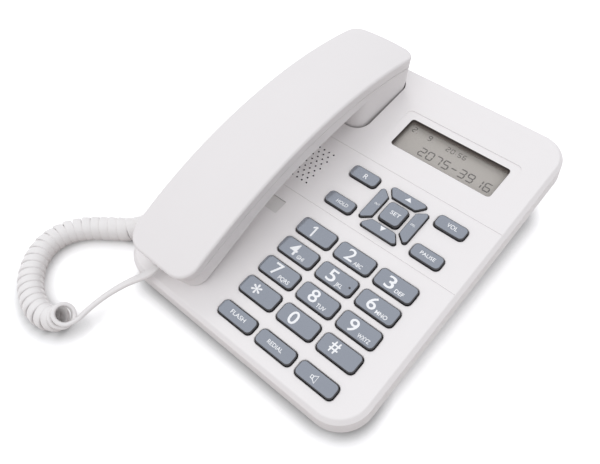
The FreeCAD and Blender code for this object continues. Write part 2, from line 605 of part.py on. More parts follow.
def make_handset():
    outer = handset_form(0.0)
    outer = soften(outer, CROWN_ROUND, on_crown_rim)
    shell = outer.cut(handset_form(SHELL))
    inside_bow = Part.makeCylinder(ARC_RADIUS - PARTING, 200, Vector(-150, AXIS_V, AXIS_W), Vector(1, 0, 0))
    inner_bow = Part.makeCylinder(ARC_RADIUS - PARTING - PARTING_GAP, 200, Vector(-150, AXIS_V, AXIS_W), Vector(1, 0, 0))
    well_side = box(HANDSET_AXIS - 60, HANDSET_AXIS + 60, -120, 120, -80, 60)
    pocket = box(SOCKET_U - 5.1, SOCKET_U + 5.1, -100, SOCKET_MOUTH + 11.0, SOCKET_W - 3.9, SOCKET_W + 3.9)
    back_shell = shell.cut([inside_bow, pocket])
    front_shell = shell.common(inner_bow).common(well_side).cut(pocket)
    holes = []
    for ring, radius in ((1, 0.0), (6, 4.2)):
        for i in range(ring):
            angle = 2 * math.pi * i / ring
            holes.append(Part.makeCylinder(1.0, 6, Vector(HANDSET_AXIS + radius * math.cos(angle),
                                                        RECEIVER_V + radius * math.sin(angle), EAR_BOTTOM - 2)))
    for i in range(3):
        holes.append(Part.makeCylinder(0.7, 14, Vector(HANDSET_AXIS + (i - 1) * 3.0, MIC_V, 0)))
    bosses = []
    pilots = []
    for v in HANDSET_SCREW_V:
        holes.append(Part.makeCylinder(2.2, 3.2, Vector(HANDSET_AXIS, v, GRIP_UNDERSIDE - 2.0)))
        holes.append(Part.makeCylinder(1.2, 6.0, Vector(HANDSET_AXIS, v, GRIP_UNDERSIDE - 2.0)))
        boss = Part.makeCylinder(2.6, 30, Vector(HANDSET_AXIS, v, GRIP_UNDERSIDE + SHELL + 0.15))
        bosses.append(boss.common(handset_form(SHELL / 2)))
        pilots.append(Part.makeCylinder(1.15, 5.5, Vector(HANDSET_AXIS, v, GRIP_UNDERSIDE + SHELL)))
    back_shell = joined([largest(back_shell)] + bosses).cut(pilots)
    add("handset_back_shell", largest(back_shell))
    add("handset_front_shell", largest(front_shell.cut(holes)))
    cavity = handset_form(SHELL + 0.15)
    add("receiver_capsule", joined([
        Part.makeCylinder(14.5, 5.0, Vector(HANDSET_AXIS, RECEIVER_V, EAR_BOTTOM + SHELL + 0.1)),
        Part.makeCylinder(8.0, 8.0, Vector(HANDSET_AXIS, RECEIVER_V, EAR_BOTTOM + SHELL + 0.1))]))
    mic = Part.makeCylinder(4.8, 9.0, Vector(HANDSET_AXIS, MIC_V, 8.0)).common(cavity)
    add("microphone", mic)
    add("handset_weight", rounded_block(HANDSET_AXIS, 6.0, 12.0, 46.0, 2.0, 23.4, 28.6))
    socket = socket_solid((PLUG_SIZE[0] + 0.4, PLUG_SIZE[1] + 0.4), PLUG_LENGTH - 0.2, (10.0, 7.6, 10.8))
    socket.rotate(Vector(0, 0, 0), Vector(0, 0, 1), 90)
    socket.translate(Vector(SOCKET_U, SOCKET_MOUTH, SOCKET_W))
    add("handset_socket", socket)
    plug = plug_solid()
    plug.rotate(Vector(0, 0, 0), Vector(0, 0, 1), 90)
    plug.translate(Vector(SOCKET_U, SOCKET_MOUTH - PLUG_PROUD, SOCKET_W))
    add("handset_plug", plug)
    screws = []
    for v in HANDSET_SCREW_V:
        head = Part.makeCylinder(2.0, 1.0, Vector(HANDSET_AXIS, v, GRIP_UNDERSIDE + 0.1))
        shank = Part.makeCylinder(1.1, 6.0, Vector(HANDSET_AXIS, v, GRIP_UNDERSIDE + 1.0))
        screws.append(head.fuse(shank))
    add("handset_screws", Part.makeCompound(screws))


def largest(shape):
    return max(shape.Solids, key=lambda s: s.Volume)


# ---------------------------------------------------------------- cord
# Routes in the world frame: from the handset's plug down to the table, round through the coil,
# back along the base's left side and in under its skirt.
HANDSET_EXIT = tuple(world_point(SOCKET_U, SOCKET_MOUTH - PLUG_PROUD, SOCKET_W))
HANDSET_LEAD_ROUTE = [
    HANDSET_EXIT, tuple(world_point(SOCKET_U, SOCKET_MOUTH - PLUG_PROUD - 5.0, SOCKET_W)),
    (-50.3, -102.5, 23.4), (-54.0, -106.9, 20.7),
    (-58.6, -111.5, 16.9), (-63.0, -116.9, 12.4), (-66.8, -122.9, 8.0), (-69.0, -129.7, 4.4),
    (-70.2, -136.7, 2.4), (-71.4, -142.7, 3.6)]
COIL_ROUTE = [
    (-69.3, -139.9, 13.0), (-71.6, -142.2, 9.2), (-77.0, -146.2, 6.9), (-85.8, -147.4, 6.7),
    (-95.6, -144.6, 6.7), (-105.8, -138.8, 6.7), (-114.2, -129.9, 6.7), (-119.4, -118.8, 6.7),
    (-118.0, -106.6, 6.7), (-110.9, -96.4, 6.7), (-100.6, -88.4, 6.7), (-90.6, -80.8, 6.7),
    (-85.8, -70.0, 6.7), (-85.4, -47.0, 6.7), (-85.4, -19.7, 6.7)]
BASE_LEAD_ROUTE = [
    (-85.4, -19.7, 8.9), (-85.4, -11.8, 8.9), (-84.8, -3.9, 9.1), (-82.2, 2.5, 9.4),
    (-76.6, JACK_Y, JACK_Z), (-HOUSING_HALF + 0.4 - PLUG_PROUD, JACK_Y, JACK_Z)]


def cord_path(route):
    """Straight runs joined by tangent arcs, each arc as large as its two runs allow."""
    points = [Vector(*p) for p in route]
    edges = []
    radii = []
    last = points[0]
    for before, corner, after in zip(points, points[1:], points[2:]):
        back = before - corner
        onward = after - corner
        reach = 0.45 * min(back.Length, onward.Length)
        back.normalize()
        onward.normalize()
        half_turn = (math.pi - back.getAngle(onward)) / 2
        radius = reach / math.tan(half_turn)
        bisector = (back + onward).normalize()
        enter = corner + back * reach
        leave = corner + onward * reach
        middle = corner + bisector * (radius / math.cos(half_turn) - radius)
        edges.append(Part.LineSegment(last, enter).toShape())
        edges.append(Part.Arc(enter, middle, leave).toShape())
        radii.append(round(radius, 1))
        last = leave
    edges.append(Part.LineSegment(last, points[-1]).toShape())
    return Part.Wire(edges), radii


def cord_tube(label, route, radius):
    """A round tube along a route; its volume should be its section times its length."""
    path, radii = cord_path(route)
    start = Vector(*route[0])
    circle = Part.Wire(Part.makeCircle(radius, start, Vector(*route[1]) - start))
    tube = path.makePipeShell([circle], True, False)
    expected = math.pi * radius ** 2 * path.Length
    print(label, "radii", radii, "length", round(path.Length, 1), "volume ratio", round(tube.Volume / expected, 4))
    return tube


def make_cord():
    add("handset_lead", cord_tube("handset lead", HANDSET_LEAD_ROUTE, LEAD_RADIUS), False)
    add("curly_cord", cord_tube("coil", COIL_ROUTE, COIL_RADIUS), False)
    add("base_lead", cord_tube("base lead", BASE_LEAD_ROUTE, LEAD_RADIUS), False)


# ---------------------------------------------------------------- build
make_deck()
make_grille()
make_bottom_shell()
make_feet_and_screws()
make_display()
make_electronics()
make_hook()
make_base_jacks()
make_keys()
make_handset()
make_cord()

for name, shape in NODES.items():
    solids = shape.Solids
    print(name, len(solids), "valid" if shape.isValid() else "INVALID", round(shape.Volume, 1))
    shape.exportStep("parts/" + name + ".step")
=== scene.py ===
import bmesh
import bpy
import json
import math
from mathutils import Matrix, Vector


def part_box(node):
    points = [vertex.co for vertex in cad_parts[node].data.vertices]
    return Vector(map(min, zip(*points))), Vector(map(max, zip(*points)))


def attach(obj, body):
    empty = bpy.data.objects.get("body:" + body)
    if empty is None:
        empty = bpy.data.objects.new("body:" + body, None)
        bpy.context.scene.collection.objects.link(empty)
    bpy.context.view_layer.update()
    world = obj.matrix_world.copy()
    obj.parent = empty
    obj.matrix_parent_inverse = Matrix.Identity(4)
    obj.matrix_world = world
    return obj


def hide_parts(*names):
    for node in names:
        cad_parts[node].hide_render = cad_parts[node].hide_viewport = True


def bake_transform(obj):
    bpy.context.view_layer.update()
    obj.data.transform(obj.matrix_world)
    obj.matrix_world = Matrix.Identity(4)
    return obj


# Corded desk telephone: the cord, the key caps with their legends, the display and every finish.
# Lengths are in metres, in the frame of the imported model: +X right, +Y to the back, +Z up.
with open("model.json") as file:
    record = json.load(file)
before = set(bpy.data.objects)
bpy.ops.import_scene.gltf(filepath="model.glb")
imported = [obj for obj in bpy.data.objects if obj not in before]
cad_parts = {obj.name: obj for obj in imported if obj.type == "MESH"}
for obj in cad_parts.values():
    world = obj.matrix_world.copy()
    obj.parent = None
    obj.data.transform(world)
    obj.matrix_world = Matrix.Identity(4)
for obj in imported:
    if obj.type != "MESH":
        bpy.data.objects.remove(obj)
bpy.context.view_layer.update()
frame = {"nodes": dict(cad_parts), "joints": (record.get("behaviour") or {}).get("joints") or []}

MM = 0.001
UP = Vector(next(j["axis"] for j in frame["joints"] if j["name"] == "handset_lift"))
TILT = math.atan2(-UP.y, UP.z)
DECK_MIDDLE = Vector((0, -2.3, 31.55)) * MM
DECK = Matrix.Translation(DECK_MIDDLE) @ Matrix.Rotation(TILT, 4, "X")
BASE = "base"


# ------------------------------------------------------------------------------ camera
CAMERA_PLACE = Vector((123.64, -183.79, 276.24)) * MM
CAMERA_FACING = Vector((-0.412, 0.4725, -0.779))
CAMERA_LENS = 36.8            # in mm, on a sensor 36 mm wide


def linked(name, data):
    """A new object of the scene with this data."""
    made = bpy.data.objects.new(name, data)
    bpy.context.scene.collection.objects.link(made)
    return made


def aim(made, place, facing):
    """Put a camera or a lamp at a place and turn it to look along a direction, upright."""
    made.location = place
    made.rotation_mode = "QUATERNION"
    made.rotation_quaternion = facing.to_track_quat("-Z", "Y")


def make_camera():
    """The camera of the main view."""
    data = bpy.data.cameras.new("camera")
    data.sensor_width = 36.0
    data.lens = CAMERA_LENS
    data.clip_start = 0.01
    camera = linked("camera", data)
    aim(camera, CAMERA_PLACE, CAMERA_FACING)
    bpy.context.scene.camera = camera


# ------------------------------------------------------------------------------ shader groups
GRAIN_DETAIL = 3.0
BROAD_SCALE = 55.0            # how often the broad mottling changes along a metre
BROAD_DETAIL = 4.0
SHINE_CHANGE = 0.12           # how far the roughness follows the mottling
RELIEF_HEIGHT = 0.2 * MM


def new_group(name, inputs, outputs):
    """A shader group with these sockets, and its nodes for what goes in and comes out."""
    group = bpy.data.node_groups.new(name, "ShaderNodeTree")
    for label, kind, value in inputs:
        socket = group.interface.new_socket(label, in_out="INPUT", socket_type=kind)
        socket.default_value = value
    for label, kind in outputs:
        group.interface.new_socket(label, in_out="OUTPUT", socket_type=kind)
    return group, group.nodes.new("NodeGroupInput"), group.nodes.new("NodeGroupOutput")


def math_node(tree, operation, first, second):
    """The result of a math node whose two values are numbers or sockets."""
    node = tree.nodes.new("ShaderNodeMath")
    node.operation = operation
    for socket, value in zip(node.inputs, (first, second)):
        if isinstance(value, (int, float)):
            socket.default_value = value
        else:
            tree.links.new(value, socket)
    return node.outputs[0]


def map_range(tree, value, given, wanted):
    """A socket's value carried over evenly from one pair of limits to another."""
    node = tree.nodes.new("ShaderNodeMapRange")
    for label, limit in zip(("From Min", "From Max", "To Min", "To Max"), (*given, *wanted)):
        node.inputs[label].default_value = limit
    tree.links.new(value, node.inputs["Value"])
    return node.outputs["Result"]


def moulded_grain_group():
    """Fine moulded texture: slight mottling of a colour, a roughness that varies, and a height."""
    group, given, result = new_group(
        "moulded grain",
        [("Colour", "NodeSocketColor", (0.8, 0.8, 0.8, 1)), ("Mottle", "NodeSocketFloat", 0.03),
         ("Roughness", "NodeSocketFloat", 0.45), ("Grain Size", "NodeSocketFloat", 0.0004)],
        [("Colour", "NodeSocketColor"), ("Roughness", "NodeSocketFloat"), ("Height", "NodeSocketFloat")])
    nodes, links = group.nodes, group.links
    place = nodes.new("ShaderNodeTexCoord")
    scale = math_node(group, "DIVIDE", 1.0, given.outputs["Grain Size"])
    fine = nodes.new("ShaderNodeTexNoise")
    fine.inputs["Detail"].default_value = GRAIN_DETAIL
    links.new(place.outputs["Object"], fine.inputs["Vector"])
    links.new(scale, fine.inputs["Scale"])
    broad = nodes.new("ShaderNodeTexNoise")
    broad.inputs["Scale"].default_value = BROAD_SCALE
    broad.inputs["Detail"].default_value = BROAD_DETAIL
    links.new(place.outputs["Object"], broad.inputs["Vector"])
    both = math_node(group, "ADD", fine.outputs["Fac"], broad.outputs["Fac"])
    centred = math_node(group, "SUBTRACT", both, 1.0)
    change = math_node(group, "MULTIPLY", centred, given.outputs["Mottle"])
    gain = math_node(group, "ADD", change, 1.0)
    tint = nodes.new("ShaderNodeVectorMath")
    tint.operation = "SCALE"
    links.new(given.outputs["Colour"], tint.inputs[0])
    links.new(gain, tint.inputs["Scale"])
    links.new(tint.outputs[0], result.inputs["Colour"])
    shine = math_node(group, "MULTIPLY", centred, SHINE_CHANGE)
    links.new(math_node(group, "ADD", shine, given.outputs["Roughness"]), result.inputs["Roughness"])
    links.new(fine.outputs["Fac"], result.inputs["Height"])
    return group


def plain_material(name, colour, grain, roughness=0.45, mottle=0.03, grain_size=0.0004, bump=0.05, **sockets):
    """A material with the moulded grain; further keyword values go on the shader's own sockets."""
    material = bpy.data.materials.new(name)
    material.use_nodes = True
    tree = material.node_tree
    shader = tree.nodes["Principled BSDF"]
    texture = tree.nodes.new("ShaderNodeGroup")
    texture.node_tree = grain
    texture.inputs["Colour"].default_value = (*colour, 1)
    texture.inputs["Mottle"].default_value = mottle
    texture.inputs["Roughness"].default_value = roughness
    texture.inputs["Grain Size"].default_value = grain_size
    relief = tree.nodes.new("ShaderNodeBump")
    relief.inputs["Strength"].default_value = bump
    relief.inputs["Distance"].default_value = RELIEF_HEIGHT
    tree.links.new(texture.outputs["Colour"], shader.inputs["Base Color"])
    tree.links.new(texture.outputs["Roughness"], shader.inputs["Roughness"])
    tree.links.new(texture.outputs["Height"], relief.inputs["Height"])
    tree.links.new(relief.outputs["Normal"], shader.inputs["Normal"])
    for label, value in sockets.items():
        shader.inputs[label.replace("_", " ")].default_value = value
    return material


def height_shade_group():
    """One colour above, another below, and an even change between two heights over the deck."""
    group, given, result = new_group(
        "height shade",
        [("Upper Colour", "NodeSocketColor", (0.1, 0.1, 0.1, 1)),
         ("Lower Colour", "NodeSocketColor", (0.5, 0.5, 0.5, 1)),
         ("Up", "NodeSocketVector", (0, 0, 1)), ("Upper Height", "NodeSocketFloat", 0.001),
         ("Lower Height", "NodeSocketFloat", 0.0)],
        [("Colour", "NodeSocketColor")])
    nodes, links = group.nodes, group.links
    place = nodes.new("ShaderNodeTexCoord")
    rise = nodes.new("ShaderNodeVectorMath")
    rise.operation = "DOT_PRODUCT"
    links.new(place.outputs["Object"], rise.inputs[0])
    links.new(given.outputs["Up"], rise.inputs[1])
    share = nodes.new("ShaderNodeMapRange")
    links.new(rise.outputs["Value"], share.inputs["Value"])
    links.new(given.outputs["Lower Height"], share.inputs["From Min"])
    links.new(given.outputs["Upper Height"], share.inputs["From Max"])
    blend = nodes.new("ShaderNodeMix")
    blend.data_type = "RGBA"
    links.new(share.outputs["Result"], blend.inputs["Factor"])
    links.new(given.outputs["Lower Colour"], blend.inputs["A"])
    links.new(given.outputs["Upper Colour"], blend.inputs["B"])
    links.new(blend.outputs["Result"], result.inputs["Colour"])
    return group


def shaded_material(name, upper, lower, upper_w, lower_w):
    """A material whose colour changes between two heights of the deck frame, given in mm."""
    material = bpy.data.materials.new(name)
    material.use_nodes = True
    tree = material.node_tree
    shader = tree.nodes["Principled BSDF"]
    shade = tree.nodes.new("ShaderNodeGroup")
    shade.node_tree = height_shade_group()
    shade.inputs["Upper Colour"].default_value = (*upper, 1)
    shade.inputs["Lower Colour"].default_value = (*lower, 1)
    shade.inputs["Up"].default_value = UP
    level = DECK_MIDDLE.dot(UP)
    shade.inputs["Upper Height"].default_value = level + upper_w * MM
    shade.inputs["Lower Height"].default_value = level + lower_w * MM
    tree.links.new(shade.outputs["Colour"], shader.inputs["Base Color"])
    shader.inputs["Roughness"].default_value = 0.6
    return material


def make_materials():
    """Every finish, by name."""
    grain = moulded_grain_group()
    made = {}

    def add(name, *args, **kwargs):
        made[name] = plain_material(name, *args, grain=grain, **kwargs)

    add("white housing", (0.81, 0.785, 0.78), roughness=0.42, mottle=0.02)
    add("white handset", (0.765, 0.74, 0.735), roughness=0.40, mottle=0.02)
    add("key cap", (0.303, 0.326, 0.369), roughness=0.1, mottle=0.03, bump=0.0, Metallic=0.8)
    add("key side", (0.068, 0.067, 0.072), roughness=0.45, mottle=0.04)
    add("legend white", (0.86, 0.87, 0.88), roughness=0.5, mottle=0.01)
    add("display panel", (0.42, 0.39, 0.355), roughness=0.45, mottle=0.015)
    add("display digit", (0.085, 0.077, 0.07), roughness=0.7, mottle=0.01)
    add("card", (0.68, 0.665, 0.65), roughness=0.7, mottle=0.03)
    add("cord vinyl", (0.79, 0.77, 0.76), roughness=0.38, mottle=0.02, bump=0.02, Coat_Weight=0.15)
    add("foot rubber", (0.02, 0.02, 0.021), roughness=0.8, mottle=0.2)
    add("screw steel", (0.55, 0.55, 0.56), roughness=0.32, mottle=0.05, Metallic=1.0)
    add("dark moulding", (0.02, 0.02, 0.022), roughness=0.5, mottle=0.1)
    add("clear plug", (0.74, 0.75, 0.74), roughness=0.12, mottle=0.01, bump=0.0, Coat_Weight=0.6)
    add("gold contact", (0.83, 0.62, 0.27), roughness=0.22, mottle=0.03, Metallic=1.0)
    add("circuit board", (0.02, 0.10, 0.04), roughness=0.35, mottle=0.1)
    add("switch rubber", (0.12, 0.125, 0.13), roughness=0.7, mottle=0.05)
    add("speaker cone", (0.012, 0.012, 0.013), roughness=0.6, mottle=0.2)
    add("raw steel", (0.42, 0.42, 0.43), roughness=0.45, mottle=0.08, Metallic=1.0)
    window = plain_material("display window", (0.9, 0.9, 0.9), grain, roughness=0.06, mottle=0.01, bump=0.0)
    window.node_tree.nodes["Principled BSDF"].inputs["Alpha"].default_value = 0.04
    made["display window"] = window
    # Painted shade on the walls of the display's recess: darkest just under the window's edge, lighter
    # towards the panel.
    made["display painted shade"] = shaded_material(
        "display painted shade", (0.045, 0.035, 0.03), (0.24, 0.21, 0.19), -1.2, -3.4)
    return made


NODE_FINISH = {
    "white housing": ["base_top_shell", "base_bottom_shell", "speaker_grille", "hook_plunger"],
    "white handset": ["handset_back_shell", "handset_front_shell"],
    "display panel": ["display_panel"],
    "display window": ["display_lens"],
    "card": ["number_card"],
    "foot rubber": ["rubber_feet"],
    "screw steel": ["base_screws", "handset_screws"],
    "dark moulding": ["base_handset_jack", "line_jack", "handset_socket", "hook_switch"],
    "clear plug": ["base_plug", "handset_plug"],
    "circuit board": ["main_circuit_board"],
    "switch rubber": ["keypad_mat"],
    "speaker cone": ["loudspeaker", "receiver_capsule", "microphone"],
    "raw steel": ["handset_weight"],
}


def finish_nodes(materials):
    """Give the CAD nodes that stay in view their finishes."""
    for finish, names in NODE_FINISH.items():
        for name in names:
            mesh = frame["nodes"][name].data
            mesh.materials.clear()
            mesh.materials.append(materials[finish])


# ------------------------------------------------------------------------------ pieces in general
def piece_from(name, mesh_in_making, materials, body, smooth=True):
    """Turn a bmesh into a piece that rides on a body."""
    mesh = bpy.data.meshes.new(name)
    mesh_in_making.to_mesh(mesh)
    mesh_in_making.free()
    for material in materials:
        mesh.materials.append(material)
    for polygon in mesh.polygons:
        polygon.use_smooth = smooth
    piece = linked(name, mesh)
    if body:
        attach(piece, body)
    return piece


def deck_points(node):
    """A CAD node's corners in the deck frame: u right, v to the back, w out of the deck."""
    inverse = DECK.inverted()
    return [inverse @ vertex.co for vertex in frame["nodes"][node].data.vertices]


def extent(points):
    """The lowest and the highest corner of the box round these points."""
    low = Vector([min(p[i] for p in points) for i in range(3)])
    high = Vector([max(p[i] for p in points) for i in range(3)])
    return low, high


def upright_edges(made):
    """The edges of a mesh in the making that stand upright and are longer than a millimetre."""
    return [e for e in made.edges if abs(e.verts[0].co.z - e.verts[1].co.z) > 1 * MM]


def turned_flat(made, degrees):
    """Turn a mesh in the making about the upright axis."""
    bmesh.ops.rotate(made, cent=(0, 0, 0), matrix=Matrix.Rotation(math.radians(degrees), 3, "Z"),
                     verts=made.verts)


def drawn_out(made, height):
    """Extrude a flat mesh in the making by this height, down where it is negative."""
    raised = bmesh.ops.extrude_face_region(made, geom=made.faces[:])
    moved = [item for item in raised["geom"] if isinstance(item, bmesh.types.BMVert)]
    bmesh.ops.translate(made, vec=(0, 0, height), verts=moved)


def curve_mesh(curve):
    """The mesh of a curve or of lettering. The curve itself is deleted."""
    holder = bpy.data.objects.new(curve.name, curve)
    mesh = bpy.data.meshes.new_from_object(holder)
    bpy.data.objects.remove(holder)
    bpy.data.curves.remove(curve)
    return mesh


def gathered(parts):
    """Several meshes in the making put together as one."""
    whole = bmesh.new()
    for part in parts:
        mesh = bpy.data.meshes.new("part")
        part.to_mesh(mesh)
        part.free()
        whole.from_mesh(mesh)
        bpy.data.meshes.remove(mesh)
    return whole


# ------------------------------------------------------------------------------ keys
CAP_LEVEL = -1 * MM           # a packed key's corners above this height belong to its cap, not its flange
KEY_FLANGE = 0.9 * MM         # the hidden flange of a packed key reaches out this far
KEY_SUNK = 0.1 * MM           # a cap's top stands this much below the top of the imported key
KEY_LOW = -1.6 * MM           # a cap's sides reach down to this height in its hole
KEY_TAPER = 0.2 * MM          # a cap is this much smaller all round at its top
KEY_CORNER = 2.4 * MM         # the rounding of a cap's upright edges
KEY_STEPS = 6                 # faces round each of them
KEY_EDGE = 0.32 * MM          # the rounding of a cap's top edge
KEY_SHOULDERS = (0.35 * MM, 0.6 * MM)
KEY_FALL = 0.1 * MM           # the shoulders of a cap fall by this much towards its edge
KEY_DISH = 0.36 * MM          # a cap's top is hollowed by this much
KEY_DISH_REACH = 11 * MM      # if it is this wide to either side, and by less if it is narrower
CAP_SLICES = 12               # a cap is cut into this many across, for the hollow to bend it
SHARP_EDGE = 0.5              # radians between two faces, from where their edge counts as a corner
RING_KEYS = {"key_up": 0, "key_out": 1, "key_down": 2, "key_delete": 3}     # each with its quarter turns
RING_OUTER = 15.0 * MM        # the ring keys run from here
RING_INNER = 8.6 * MM         # in to here, measured square to their sides
RING_MITRE = 0.9 * MM         # half the gap between neighbours, square to the mitre
RING_CUT = (2.4 * MM, 1.2 * MM)   # an outer corner is cut off from this far along and in from it
RING_CUT_END = 4.6 * MM       # to this far along the outer side
RING_CORNER = 0.95 * MM
RING_STEPS = 3
RING_TIP = 1.5 * MM           # rounding of the two sharpest corners of a ring key
RING_EDGE = 0.28 * MM
RING_SHOULDERS = (0.3 * MM,)
HOLE_CORNER = (12.18, 14.15)  # the sharp corner of a ring key's hole, in mm from the middle of the ring,
HOLE_INNER = (7.48, 8.25)     # the next corner towards the middle,
HOLE_OUTER = (9.98, 15.35)    # and the next one on the outer side
TIP_REACH = 1.9 * MM          # the sharp corner is rounded off from here
TIP_DEPTH = 1.6 * MM


def key_block(node):
    """The upright prism of a rectangular key, from its CAD node's corners."""
    low, high = extent([p for p in deck_points(node) if p.z > CAP_LEVEL])
    high.z -= KEY_SUNK
    size = high - low
    block = bmesh.new()
    bmesh.ops.create_cube(block, size=1.0)
    bmesh.ops.scale(block, vec=(size.x, size.y, high.z - KEY_LOW), verts=block.verts)
    middle = Vector(((low.x + high.x) / 2, (low.y + high.y) / 2, (high.z + KEY_LOW) / 2))
    bmesh.ops.translate(block, vec=middle, verts=block.verts)
    for vertex in block.verts:
        if vertex.co.z > middle.z:
            vertex.co.x -= math.copysign(KEY_TAPER, vertex.co.x - middle.x)
            vertex.co.y -= math.copysign(KEY_TAPER, vertex.co.y - middle.y)
    return block, KEY_CORNER, KEY_STEPS, KEY_EDGE, KEY_SHOULDERS


def ring_middle():
    """The middle of the ring of keys, on the deck."""
    low, high = extent([p for p in deck_points("key_set") if p.z > 0])
    return Vector(((low.x + high.x) / 2, (low.y + high.y) / 2, 0))


def ring_block(node, turns):
    """The upright prism of a ring key: a trapezium with its outer corners cut back."""
    top = max(p.z for p in deck_points(node)) - KEY_SUNK
    half_outer = RING_OUTER - RING_MITRE * math.sqrt(2)
    half_inner = RING_INNER - RING_MITRE * math.sqrt(2)
    along, inward = RING_CUT
    right = [(half_outer - RING_CUT_END, RING_OUTER), (half_outer - along, RING_OUTER - inward),
             (half_inner, RING_INNER)]
    left = [(-x, y) for x, y in reversed(right)]
    block = bmesh.new()
    block.faces.new([block.verts.new((x, y, KEY_LOW)) for x, y in left + right])
    drawn_out(block, top - KEY_LOW)
    tips = [e for e in upright_edges(block) if abs(e.verts[0].co.y - RING_OUTER + inward) < 0.1 * MM]
    bmesh.ops.bevel(block, geom=tips, offset=RING_TIP, segments=4, profile=0.5, affect="EDGES", material=-1)
    turned_flat(block, 90 * turns)
    bmesh.ops.translate(block, vec=ring_middle(), verts=block.verts)
    bmesh.ops.recalc_face_normals(block, faces=block.faces)
    return block, RING_CORNER, RING_STEPS, RING_EDGE, RING_SHOULDERS


def hollowed(name, reach):
    """How far a cap's top is hollowed at this reach to the left or right of its middle."""
    if name in RING_KEYS:
        return 0.0
    low, high = extent(deck_points(name))
    half = (high.x - low.x) / 2 - KEY_FLANGE
    return KEY_DISH * max(0.0, half ** 2 - reach ** 2) / KEY_DISH_REACH ** 2


def shape_cap(name, block, corner, segments, edge, shoulders):
    """Round a prism's corners and top edge, give it soft shoulders, and leave all but the top dark: the dark
    sides are the key's own colour, and the dark rounded top edge is also painted shade for the gap round the
    key.
    """
    corners = [e for e in upright_edges(block) if e.calc_face_angle() > SHARP_EDGE]
    bmesh.ops.bevel(block, geom=corners, offset=corner, segments=segments, profile=0.5, affect="EDGES",
                    material=-1)
    top_z = max(v.co.z for v in block.verts)
    top = max(block.faces, key=lambda f: f.calc_center_median().z)
    bmesh.ops.bevel(block, geom=list(top.edges), offset=edge, segments=4, profile=0.5, affect="EDGES",
                    material=-1)
    top = max((f for f in block.faces if f.normal.z > 0.999), key=lambda f: f.calc_area())
    # The sides keep the key's own dark colour; the dark rounded top edge also stands for painted shade in the
    # gap round the key.
    for face in block.faces:
        face.material_index = 1
    top.material_index = 0
    for i, width in enumerate(shoulders):
        for vertex in top.verts:
            vertex.co.z = top_z - KEY_FALL * (1 - i / len(shoulders)) ** 2
        bmesh.ops.inset_individual(block, faces=[top], thickness=width)
    for vertex in top.verts:
        vertex.co.z = top_z
    low, high = extent([v.co for v in block.verts])
    middle = (low.x + high.x) / 2
    for i in range(1, CAP_SLICES):
        whole = list(block.verts) + list(block.edges) + list(block.faces)
        cut = low.x + (high.x - low.x) * i / CAP_SLICES
        bmesh.ops.bisect_plane(block, geom=whole, dist=1e-7, plane_co=(cut, 0, 0), plane_no=(1, 0, 0))
    for vertex in block.verts:
        if vertex.co.z > KEY_LOW + 1e-6:
            vertex.co.z -= hollowed(name, vertex.co.x - middle)
    bmesh.ops.transform(block, matrix=DECK, verts=block.verts)
    return block


def make_key_caps(materials):
    """Every key's cap, in the place of its CAD node."""
    for name in [name for name in frame["nodes"] if name.startswith("key_")]:
        made = ring_block(name, RING_KEYS[name]) if name in RING_KEYS else key_block(name)
        block = shape_cap(name, *made)
        cap = piece_from(name + "_cap", block, [materials["key cap"], materials["key side"]], name)
        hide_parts(name)


def make_hole_corners(materials):
    """Fill the sharp outer corners of the four ring keys' holes, so that they are round."""
    filling = []
    for turns in range(4):
        for side in (-1, 1):
            places = (HOLE_CORNER, HOLE_INNER, HOLE_OUTER)
            corner, inner, outer = [Vector((side * x, y, 0)) * MM for x, y in places]
            inner = (inner - corner).normalized()
            outer = (outer - corner).normalized()
            half = inner.angle(outer) / 2
            middle = corner + (inner + outer).normalized() * TIP_REACH / math.cos(half)
            tip = bmesh.new()
            apex = tip.verts.new(corner)
            first = tip.verts.new(corner + inner * TIP_REACH)
            bmesh.ops.spin(tip, geom=[first], cent=middle, axis=(0, 0, 1), angle=side * (math.pi - 2 * half),
                           steps=6)
            end = corner + outer * TIP_REACH
            last = min((v for v in tip.verts if v is not apex), key=lambda v: (v.co - end).length)
            tip.edges.new((apex, first))
            tip.edges.new((apex, last))
            bmesh.ops.contextual_create(tip, geom=tip.edges[:])
            drawn_out(tip, -TIP_DEPTH)
            turned_flat(tip, 90 * turns)
            bmesh.ops.recalc_face_normals(tip, faces=tip.faces)
            filling.append(tip)
    whole = gathered(filling)
    bmesh.ops.transform(whole, matrix=DECK @ Matrix.Translation(ring_middle()), verts=whole.verts)
    piece_from("ring_hole_corners", whole, [materials["white housing"]], BASE, smooth=False)


# ------------------------------------------------------------------------------ legends
# Lengths not times MM are in mm. Each place is (right, back) from the middle of its key.
LEGEND_LIFT = 0.03 * MM
DIGIT_SIZE = (6.9, 4.9)       # height and width
DIGIT_WEIGHT = 0.009          # how much the strokes are thickened, as a share of the letters' size
DIGITS = {
    "1": (-1.8, -0.4), "2": (-2.6, 0.2), "3": (-2.8, -0.1), "4": (-2.6, 0.2), "5": (-2.7, 0.0),
    "6": (-3.0, 0.2), "7": (-1.9, 0.3), "8": (-2.6, 0.4), "9": (-3.2, -0.1), "0": (-2.9, 0.0)}
LETTER_HEIGHT = 2.2
LETTER_WEIGHT = 0.016
LETTER_DROP = -2.4
LETTERS = {                   # text, its width, and where it begins to the right of the key's middle
    "2": ("ABC", 5.0, 1.2), "3": ("DEF", 5.0, 1.2), "4": ("GHI", 4.1, 1.2), "5": ("JKL", 4.1, 1.2),
    "6": ("MNO", 6.7, 0.5), "7": ("PQRS", 6.7, 1.5), "8": ("TUV", 5.2, 1.2), "9": ("WXYZ", 6.8, 1.2)}
WORD_WEIGHT = 0.011
